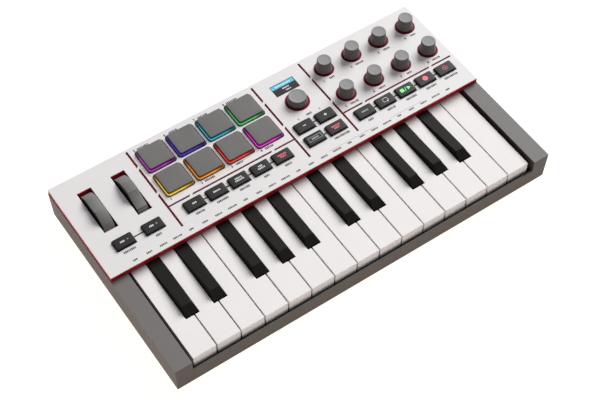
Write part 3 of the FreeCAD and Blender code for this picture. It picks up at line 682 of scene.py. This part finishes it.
def pad_centres():
    """Each pad's number, middle and light colour, on the grid that the mat's box gives."""
    rows = ((MAT_LOW.y + PAD_INSET, FRONT_PAD_COLOURS), (MAT_HIGH.y - PAD_INSET, BACK_PAD_COLOURS))
    step = (MAT_HIGH.x - MAT_LOW.x - 2 * PAD_INSET) / (PAD_COLUMNS - 1)
    for row, (y, colours) in enumerate(rows):
        for column, colour in enumerate(colours):
            x = MAT_LOW.x + PAD_INSET + step * column
            yield PAD_COLUMNS * row + column + 1, Vector((x, y, 0)), colour


def pad_top(number, centre):
    """The grey crown of a pad, standing on a narrower neck inside its lit skirt."""
    top = MAT_HIGH.z
    neck, lip = HEAD_HALF - NECK_INSET, HEAD_HALF + LIP
    rings = squares(centre, ((neck, HEAD_CORNER, PLATE_TOP - NECK_FOOT),
                             (neck, HEAD_CORNER, top - NECK_TOP),
                             (lip, HEAD_CORNER, top - LIP_FOOT)))
    rings += soft_top(centre, lip, lip, HEAD_CORNER, top, TOP_EDGE, TOP_CROWN)
    piece(f"pad_{number}", lambda bm: skin(bm, rings), "pad_mat", "pad_grey")


def pad_skirt(number, centre, colour):
    """The translucent skirt that carries a pad's light."""
    top = MAT_HIGH.z - SKIRT_DROP
    rings = squares(centre, ((FOOT_HALF, FOOT_CORNER, MAT_TOP - MAT_EDGE),
                             (FOOT_HALF, FOOT_CORNER, PLATE_TOP - 0.1),
                             (FOOT_HALF - SKIRT_STEP, FOOT_CORNER, PLATE_TOP - 0.1 + SKIRT_STEP),
                             (HEAD_HALF + SKIRT_BULGE, HEAD_CORNER + LIP, top - SKIRT_EDGE),
                             (HEAD_HALF + SKIRT_RIM, HEAD_CORNER, top),
                             (HEAD_HALF - SKIRT_WELL, HEAD_CORNER, top - 0.05)))
    piece(f"pad_skirt_{number}", lambda bm: skin(bm, rings), "pad_mat", "pad_grey",
          pad_light(f"pad_light_{number}", colour))


def mat_sheet():
    """The web of silicone that joins the pads under the deck."""
    centre = (MAT_LOW + MAT_HIGH) / 2
    half = (MAT_HIGH - MAT_LOW) / 2
    rings = [rounded(centre, half.x, half.y, MAT_CORNER, MAT_LOW.z),
             rounded(centre, half.x, half.y, MAT_CORNER, MAT_TOP - MAT_EDGE),
             rounded(centre, half.x - MAT_EDGE, half.y - MAT_EDGE, MAT_CORNER - MAT_EDGE,
                     MAT_TOP)]
    piece("pad_mat_sheet", lambda bm: skin(bm, rings), "pad_mat", "pad_grey",
          replaces="pad_mat")


mat_sheet()
for number, centre, colour in pad_centres():
    pad_top(number, centre)
    pad_skirt(number, centre, colour)


# ---- print on the faceplate --------------------------------------------------------------------

INK_SINK = 0.02                    # print starts this far inside the surface under it
PRINT_Z = PLATE_TOP - INK_SINK
GLYPH_PITCH = 1.25
GLYPH_WIDTHS = (0.75, 0.95, 0.85, 0.7)
GLYPH_HEIGHT = 1.9
LOW_GLYPH_HEIGHT = 1.5
CHEVRON_ARM, CHEVRON_STROKE = 1.5, 0.32
DIGIT_SIZE = 3.2
DIGIT_BOLD = 0.08

# Places of print from the middle of the control that it belongs to.
BUTTON_WORD_Y = -8.1
KNOB_WORD_X, KNOB_NUMBER_X = 0.3, -7.3
KNOB_PRINT_Y = -10.5
PAD_NUMBER_X = -10.6
BACK_PAD_WORD_X, FRONT_PAD_WORD_X = -3.4, -3.9
BACK_PAD_PRINT_Y, FRONT_PAD_PRINT_Y = 13.2, -14.0
ENCODER_WORD_X, ENCODER_WORD_Y = 0.6, -14.9
CHEVRON_LEFT_X, CHEVRON_RIGHT_X, CHEVRON_Y = -9.2, 10.0, -15.2
BUTTON_WORDS = {"octave_down_button": 8, "octave_up_button": 4, "arpeggio_button": 6,
                "latch_button": 8, "note_repeat_button": 7, "tap_tempo_button": 4,
                "pad_bank_button": 5, "program_button": 11, "undo_button": 4, "loop_button": 6,
                "play_button": 8, "record_button": 8, "automation_button": 10}

# Print along the plate's front edge: a word for each key, and dotted lines over some of them.
EDGE_WORDS = len(WHITE_KEYS) + len(BLACK_KEYS)
EDGE_WORD_START, EDGE_WORD_PITCH, EDGE_WORD_Y = -141.0, 11.6, 4.0
DOTTED_LINES = ((28.0, 70.0), (84.0, 115.0))
DOT_PITCH, DOT_LENGTH, DOT_WIDTH, DOT_Y = 1.2, 0.7, 0.25, 5.9


def word(bm, x, y, glyphs, z, height=GLYPH_HEIGHT):
    """A centred row of plain upright blocks, as a stand-in for small print. It spells nothing."""
    for i in range(glyphs):
        at = x + GLYPH_PITCH * (i - (glyphs - 1) / 2)
        bar(bm, at, y, GLYPH_WIDTHS[i % len(GLYPH_WIDTHS)], height, z)


def chevron(bm, x, y, side, z):
    """A small open angle that points to one side."""
    for up in (-1, 1):
        tip = Vector((x + side * CHEVRON_ARM / 2, y))
        tail = Vector((x - side * CHEVRON_ARM / 2, y + up * CHEVRON_ARM * 0.6))
        along = (tail - tip).normalized()
        across = Vector((-along.y, along.x)) * CHEVRON_STROKE / 2
        slab(bm, [tip + across, tail + across, tail - across, tip - across], z)


def plate_words(bm):
    """The words by the controls, with lengths that vary, and those along the front edge."""
    for node, glyphs in BUTTON_WORDS.items():
        at = middle(node)
        word(bm, at.x, at.y + BUTTON_WORD_Y, glyphs, PRINT_Z)
    for index, node in enumerate(KNOBS):
        at = middle(node)
        word(bm, at.x + KNOB_WORD_X, at.y + KNOB_PRINT_Y, 4 + (index * 2) % 3, PRINT_Z)
    for number, at, _ in pad_centres():
        if number > PAD_COLUMNS:
            word(bm, at.x + BACK_PAD_WORD_X, at.y + BACK_PAD_PRINT_Y, 6 + number % 3, PRINT_Z)
        elif number > 1:
            word(bm, at.x + FRONT_PAD_WORD_X, at.y + FRONT_PAD_PRINT_Y, 5 + number % 3, PRINT_Z)
    for index in range(EDGE_WORDS):
        word(bm, EDGE_WORD_START + EDGE_WORD_PITCH * index, PLATE_FRONT + EDGE_WORD_Y,
             3 + (index * 5) % 4, PRINT_Z, height=LOW_GLYPH_HEIGHT)
    encoder = middle("encoder_knob")
    word(bm, encoder.x + ENCODER_WORD_X, encoder.y + ENCODER_WORD_Y, 4, PRINT_Z)
    chevron(bm, encoder.x + CHEVRON_LEFT_X, encoder.y + CHEVRON_Y, -1, PRINT_Z)
    chevron(bm, encoder.x + CHEVRON_RIGHT_X, encoder.y + CHEVRON_Y, 1, PRINT_Z)
    for start, end in DOTTED_LINES:
        for i in range(int((end - start) / DOT_PITCH)):
            bar(bm, start + DOT_PITCH * i, PLATE_FRONT + DOT_Y, DOT_LENGTH, DOT_WIDTH, PRINT_Z)


def digit_mesh(name, text, x, y):
    """One printed numeral, in metres."""
    curve = bpy.data.curves.new(name, "FONT")
    curve.body = text
    curve.size = DIGIT_SIZE * MM
    curve.extrude = INK_THICK / 2 * MM
    curve.offset = DIGIT_BOLD * MM
    curve.resolution_u = 3
    curve.align_x = "CENTER"
    curve.align_y = "CENTER"
    holder = bpy.data.objects.new(name, curve)
    bpy.context.scene.collection.objects.link(holder)
    bpy.context.view_layer.update()
    evaluated = holder.evaluated_get(bpy.context.evaluated_depsgraph_get())
    mesh = bpy.data.meshes.new_from_object(evaluated)
    mesh.transform(Matrix.Translation(Vector((x, y, PRINT_Z + INK_THICK / 2)) * MM))
    bpy.data.objects.remove(holder)
    return mesh


def digits(name, places):
    """Plain numerals printed on the plate, as one piece."""
    bm = bmesh.new()
    for text, x, y in places:
        mesh = digit_mesh(f"{name}_{text}", text, x, y)
        bm.from_mesh(mesh)
        bpy.data.meshes.remove(mesh)
    joined = bpy.data.meshes.new(name)
    bm.to_mesh(joined)
    bm.free()
    joined.materials.append(MATERIALS["ink"])
    obj = bpy.data.objects.new(name, joined)
    bpy.context.scene.collection.objects.link(obj)
    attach(obj, CASE)


piece("plate_words", plate_words, CASE, "plate_white", MATERIALS["ink"], smooth=False)
digits("pad_numbers", [(str(number), at.x + PAD_NUMBER_X,
                        at.y + (BACK_PAD_PRINT_Y if number > PAD_COLUMNS else FRONT_PAD_PRINT_Y))
                       for number, at, _ in pad_centres()])
digits("knob_numbers", [(str(index + 1), middle(node).x + KNOB_NUMBER_X,
                         middle(node).y + KNOB_PRINT_Y) for index, node in enumerate(KNOBS)])


# ---- marks on the buttons ----------------------------------------------------------------------

CIRCLE_POINTS = 40
LINE_HEIGHT = 1.35
LINE_PITCH = 2.0


def ring(bm, x, y, outer, inner, z):
    """A flat ring."""
    loops = [[bm.verts.new((x + radius * c, y + radius * s, height))
              for c, s in round_steps(CIRCLE_POINTS)]
             for radius, height in ((outer, z), (outer, z + INK_THICK), (inner, z + INK_THICK),
                                    (inner, z))]
    for a, b in zip(loops, loops[1:] + loops[:1]):
        for i in range(CIRCLE_POINTS):
            j = (i + 1) % CIRCLE_POINTS
            bm.faces.new((a[i], a[j], b[j], b[i]))


def corner_stroke(bm, x, y, radius, stroke, quarter, z):
    """A quarter of a ring, for the round corner of an outline."""
    steps = 6
    angles = [math.pi / 2 * (quarter + i / steps) for i in range(steps + 1)]
    outer, inner = radius + stroke / 2, radius - stroke / 2
    slab(bm, [(x + outer * math.cos(angle), y + outer * math.sin(angle)) for angle in angles]
         + [(x + inner * math.cos(angle), y + inner * math.sin(angle))
            for angle in reversed(angles)], z)


def words_mark(*lines):
    """Blank words in rows: each number is how many blocks a row has."""
    def build(bm, x, y, z):
        upper = y + LINE_PITCH * (len(lines) - 1) / 2
        for row, glyphs in enumerate(lines):
            word(bm, x, upper - LINE_PITCH * row, glyphs, z, height=LINE_HEIGHT)
    return build


def step_mark(rising):
    """A blank word with a small minus or plus after it."""
    def build(bm, x, y, z):
        sign_x, length, stroke = x + 3.0, 1.2, 0.35
        word(bm, x - 1.3, y, 3, z, height=LOW_GLYPH_HEIGHT)
        bar(bm, sign_x, y, length, stroke, z)
        if rising:
            bar(bm, sign_x, y, stroke, length, z)
    return build


def sign_mark(rising):
    """A bold minus or plus."""
    def build(bm, x, y, z):
        length, stroke = 2.6, 0.7
        bar(bm, x, y, length, stroke, z)
        if rising:
            arm = 1.0
            for side in (1, -1):
                bar(bm, x, y + side * (stroke + arm) / 2, stroke, arm, z)
    return build


def boxed_mark(bm, x, y, z):
    """A blank word in a frame."""
    half_x, half_y, stroke = 5.6, 1.9, 0.3
    for side in (-1, 1):
        bar(bm, x, y + side * half_y, 2 * half_x + stroke, stroke, z)
        bar(bm, x + side * half_x, y, stroke, 2 * half_y - stroke, z)
    word(bm, x, y, 5, z, height=LOW_GLYPH_HEIGHT)


def filled_mark(bm, x, y, z):
    """Two lit blank words, the upper one wider."""
    word(bm, x, y + 0.9, 6, z, height=LOW_GLYPH_HEIGHT)
    word(bm, x, y - 1.1, 4, z, height=LOW_GLYPH_HEIGHT)


def loop_mark(bm, x, y, z):
    """A rounded square, open below, with an arrow head at its open end."""
    half_x, half_y, corner, stroke = 2.2, 1.75, 0.8, 0.32
    gap, arrow = 1.8, 0.9
    straight = 2 * (half_x - corner)
    bar(bm, x, y + half_y, straight, stroke, z)
    bar(bm, x - gap / 2, y - half_y, straight - gap, stroke, z)
    for side in (-1, 1):
        bar(bm, x + side * half_x, y, stroke, 2 * (half_y - corner), z)
    for quarter, (sx, sy) in enumerate(QUARTERS):
        corner_stroke(bm, x + sx * (half_x - corner), y + sy * (half_y - corner), corner, stroke,
                      quarter, z)
    foot = y - half_y
    slab(bm, [(x + 0.1, foot), (x + 1.4, foot - arrow), (x + 1.4, foot + arrow)], z + 0.01)


def play_mark(bm, x, y, z):
    """A stop square and a play triangle with a stroke between them."""
    bar(bm, x - 3.1, y, 3.0, 3.0, z)
    slab(bm, [(x - 0.9, y - 1.8), (x - 0.5, y - 1.8), (x + 0.9, y + 1.8), (x + 0.5, y + 1.8)], z)
    slab(bm, [(x + 1.9, y - 1.6), (x + 4.7, y), (x + 1.9, y + 1.6)], z)


def dot_mark(bm, x, y, z):
    """A filled circle."""
    radius = 2.2
    slab(bm, [(x + radius * c, y + radius * s) for c, s in round_steps(CIRCLE_POINTS)], z)


def dial_mark(bm, x, y, z):
    """A circle with a bar and a stem inside."""
    ring(bm, x, y, 2.1, 1.8, z)
    bar(bm, x, y, 0.4, 2.2, z)
    bar(bm, x, y, 2.4, 0.3, z + 0.01)


BUTTON_MARKS = {
    "octave_down_button": (step_mark(False), "ink_white"),
    "octave_up_button": (step_mark(True), "ink_white"),
    "arpeggio_button": (words_mark(3), "ink_white"),
    "latch_button": (words_mark(5), "ink_white"),
    "note_repeat_button": (words_mark(5, 6), "ink_white"),
    "tap_tempo_button": (words_mark(3, 5), "ink_white"),
    "pad_bank_button": (filled_mark, "lit_red"),
    "minus_button": (sign_mark(False), "ink_white"),
    "plus_button": (sign_mark(True), "ink_white"),
    "shift_button": (boxed_mark, "ink_pale"),
    "program_button": (filled_mark, "lit_red"),
    "undo_button": (words_mark(5), "ink_pale"),
    "loop_button": (loop_mark, "ink_white"),
    "play_button": (play_mark, "lit_green"),
    "record_button": (dot_mark, "lit_dot"),
    "automation_button": (dial_mark, "lit_red"),
}


def mark_button(node, mark, material):
    """The mark on top of a button, which moves with it."""
    at, z = middle(node), span(node)[1].z - INK_SINK
    piece(node + "_mark", lambda bm: mark(bm, at.x, at.y, z), node, "button_black",
          MATERIALS[material], smooth=False)


for node, (mark, material) in BUTTON_MARKS.items():
    mark_button(node, mark, material)


# ---- display -----------------------------------------------------------------------------------

SCREEN_HALF_X, SCREEN_HALF_Y = 10.2, 5.2
SCREEN_Z = PLATE_TOP - 0.2
HEADER_DEPTH = 3.6
HEADER_THICK = 0.03
TITLE_GLYPHS, TITLE_HEIGHT = 11, 1.3
SCREEN_LINES = ((0.6, -0.4, 5, 1.2), (1.6, -3.0, 4, 1.0))    # x, y, blocks and their height


def display_picture():
    """What the display shows: a lit title bar and two blank lines."""
    centre = middle("display_module")
    header_y = centre.y + SCREEN_HALF_Y - HEADER_DEPTH / 2

    def header(bm):
        bar(bm, centre.x, header_y, 2 * SCREEN_HALF_X, HEADER_DEPTH, SCREEN_Z, HEADER_THICK)

    def lines(bm):
        for x, y, glyphs, height in SCREEN_LINES:
            word(bm, centre.x + x, centre.y + y, glyphs, SCREEN_Z, height)

    def title(bm):
        word(bm, centre.x, header_y, TITLE_GLYPHS, SCREEN_Z + HEADER_THICK, TITLE_HEIGHT)

    for name, build, material in (("display_header", header, "screen_cyan"),
                                  ("display_lines", lines, "screen_white"),
                                  ("display_title", title, "screen_white")):
        piece(name, build, CASE, "display", MATERIALS[material], smooth=False)


display_picture()


# ---- sockets in the rear wall ------------------------------------------------------------------

LINING_DEPTH = 9.0
LINING_INSIDE, LINING_OUTSIDE = -0.02, 0.3    # from the socket's radius outwards
COLLAR_INSIDE, COLLAR_OUTSIDE = 0.35, 1.2
COLLAR_RISE = 0.25                            # how far the collar stands out of the mouth
COLLAR_FOOT = 0.3                             # how far it goes back round the lining
SOCKET_POINTS = 48
MERGE_DISTANCE = 0.0001


def socket_trim(name):
    """The metal lining and raised collar of a round socket, seen through its hole in the wall."""
    mount = next(mount for mount in frame["record"]["mounts"] if mount["name"] == name)
    x, y, z = (value / MM for value in mount["pos_m"])
    radius = mount["dims"]["r_mm"]
    mouth = y + mount["dims"]["length_mm"] / 2
    profile = [(LINING_INSIDE, -LINING_DEPTH), (LINING_INSIDE, 0.0),
               (COLLAR_INSIDE, COLLAR_RISE), (COLLAR_OUTSIDE, COLLAR_RISE),
               (COLLAR_OUTSIDE, -COLLAR_FOOT), (LINING_OUTSIDE, -COLLAR_FOOT),
               (LINING_OUTSIDE, -LINING_DEPTH)]

    def build(bm):
        rings = [[Vector((x + (radius + out) * c, mouth + rise, z + (radius + out) * s))
                  for c, s in round_steps(SOCKET_POINTS)] for out, rise in profile]
        skin(bm, rings + rings[:1], capped=False)
        bmesh.ops.remove_doubles(bm, verts=bm.verts, dist=MERGE_DISTANCE)

    piece(name + "_lining", build, CASE, "screw_steel", MATERIALS["socket_metal"])


for name in ("sustain_socket", "midi_socket"):
    socket_trim(name)


# ---- stage, light and camera, in metres --------------------------------------------------------

FLOOR_HALF = 6.0
FLOOR_Z = -0.00005                 # just clear of the feet
CAMERA_PLACE = Vector((-0.34215, -0.4928, 0.8376))
CAMERA_TARGET = Vector((-0.00636, -0.00756, 0.002))
CAMERA_ROLL = math.radians(0.386)


def floor():
    """A pale sheet of paper, lit from within so that it stays brighter than the keyboard."""
    mesh = bpy.data.meshes.new("floor")
    corners = [(sx * FLOOR_HALF, sy * FLOOR_HALF, FLOOR_Z) for sx, sy in QUARTERS]
    mesh.from_pydata(corners, [], [(0, 1, 2, 3)])
    obj = bpy.data.objects.new("floor", mesh)
    bpy.context.scene.collection.objects.link(obj)
    nodes = Nodes("floor_paper")
    nodes.feed(nodes.clouds(nodes.noise(3.0), (0.22, 0.22, 0.22), (0.24, 0.24, 0.24)),
               "Base Color")
    nodes.set("Roughness", 0.9)
    nodes.set("Specular IOR Level", 0.0)
    nodes.set("Emission Color", (1.0, 0.90, 0.85, 1))
    nodes.set("Emission Strength", 1.1)
    mesh.materials.append(nodes.material)


def fill_light():
    """An even warm white from all round."""
    world = bpy.data.worlds.new("studio")
    world.use_nodes = True
    background = world.node_tree.nodes["Background"]
    background.inputs["Color"].default_value = (1.0, 0.98, 0.96, 1)
    background.inputs["Strength"].default_value = 0.2
    bpy.context.scene.world = world


def area_light(name, place, size, power):
    """A round soft light that faces the keyboard."""
    light = bpy.data.lights.new(name, "AREA")
    light.shape = "DISK"
    light.size = size
    light.energy = power
    obj = bpy.data.objects.new(name, light)
    obj.location = place
    obj.rotation_euler = (-Vector(place)).to_track_quat("-Z", "Y").to_euler()
    bpy.context.scene.collection.objects.link(obj)


def camera():
    """The viewpoint: front left of the keyboard, looking down, with a long lens."""
    data = bpy.data.cameras.new("camera")
    data.lens = 81.62
    data.sensor_width = 36.0
    data.shift_x = 0.0006
    data.shift_y = 0.0079
    obj = bpy.data.objects.new("camera", data)
    aim = (CAMERA_TARGET - CAMERA_PLACE).to_track_quat("-Z", "Y").to_matrix().to_4x4()
    roll = Matrix.Rotation(CAMERA_ROLL, 4, "Z")
    obj.matrix_world = Matrix.Translation(CAMERA_PLACE) @ aim @ roll
    bpy.context.scene.collection.objects.link(obj)
    bpy.context.scene.camera = obj


floor()
fill_light()
area_light("key", (6.3, 2.94, 5.24), 6.0, 1060.0)
area_light("overhead", (-0.1, -0.35, 1.4), 1.2, 2.5)
camera()
bpy.context.scene.view_settings.view_transform = "Standard"
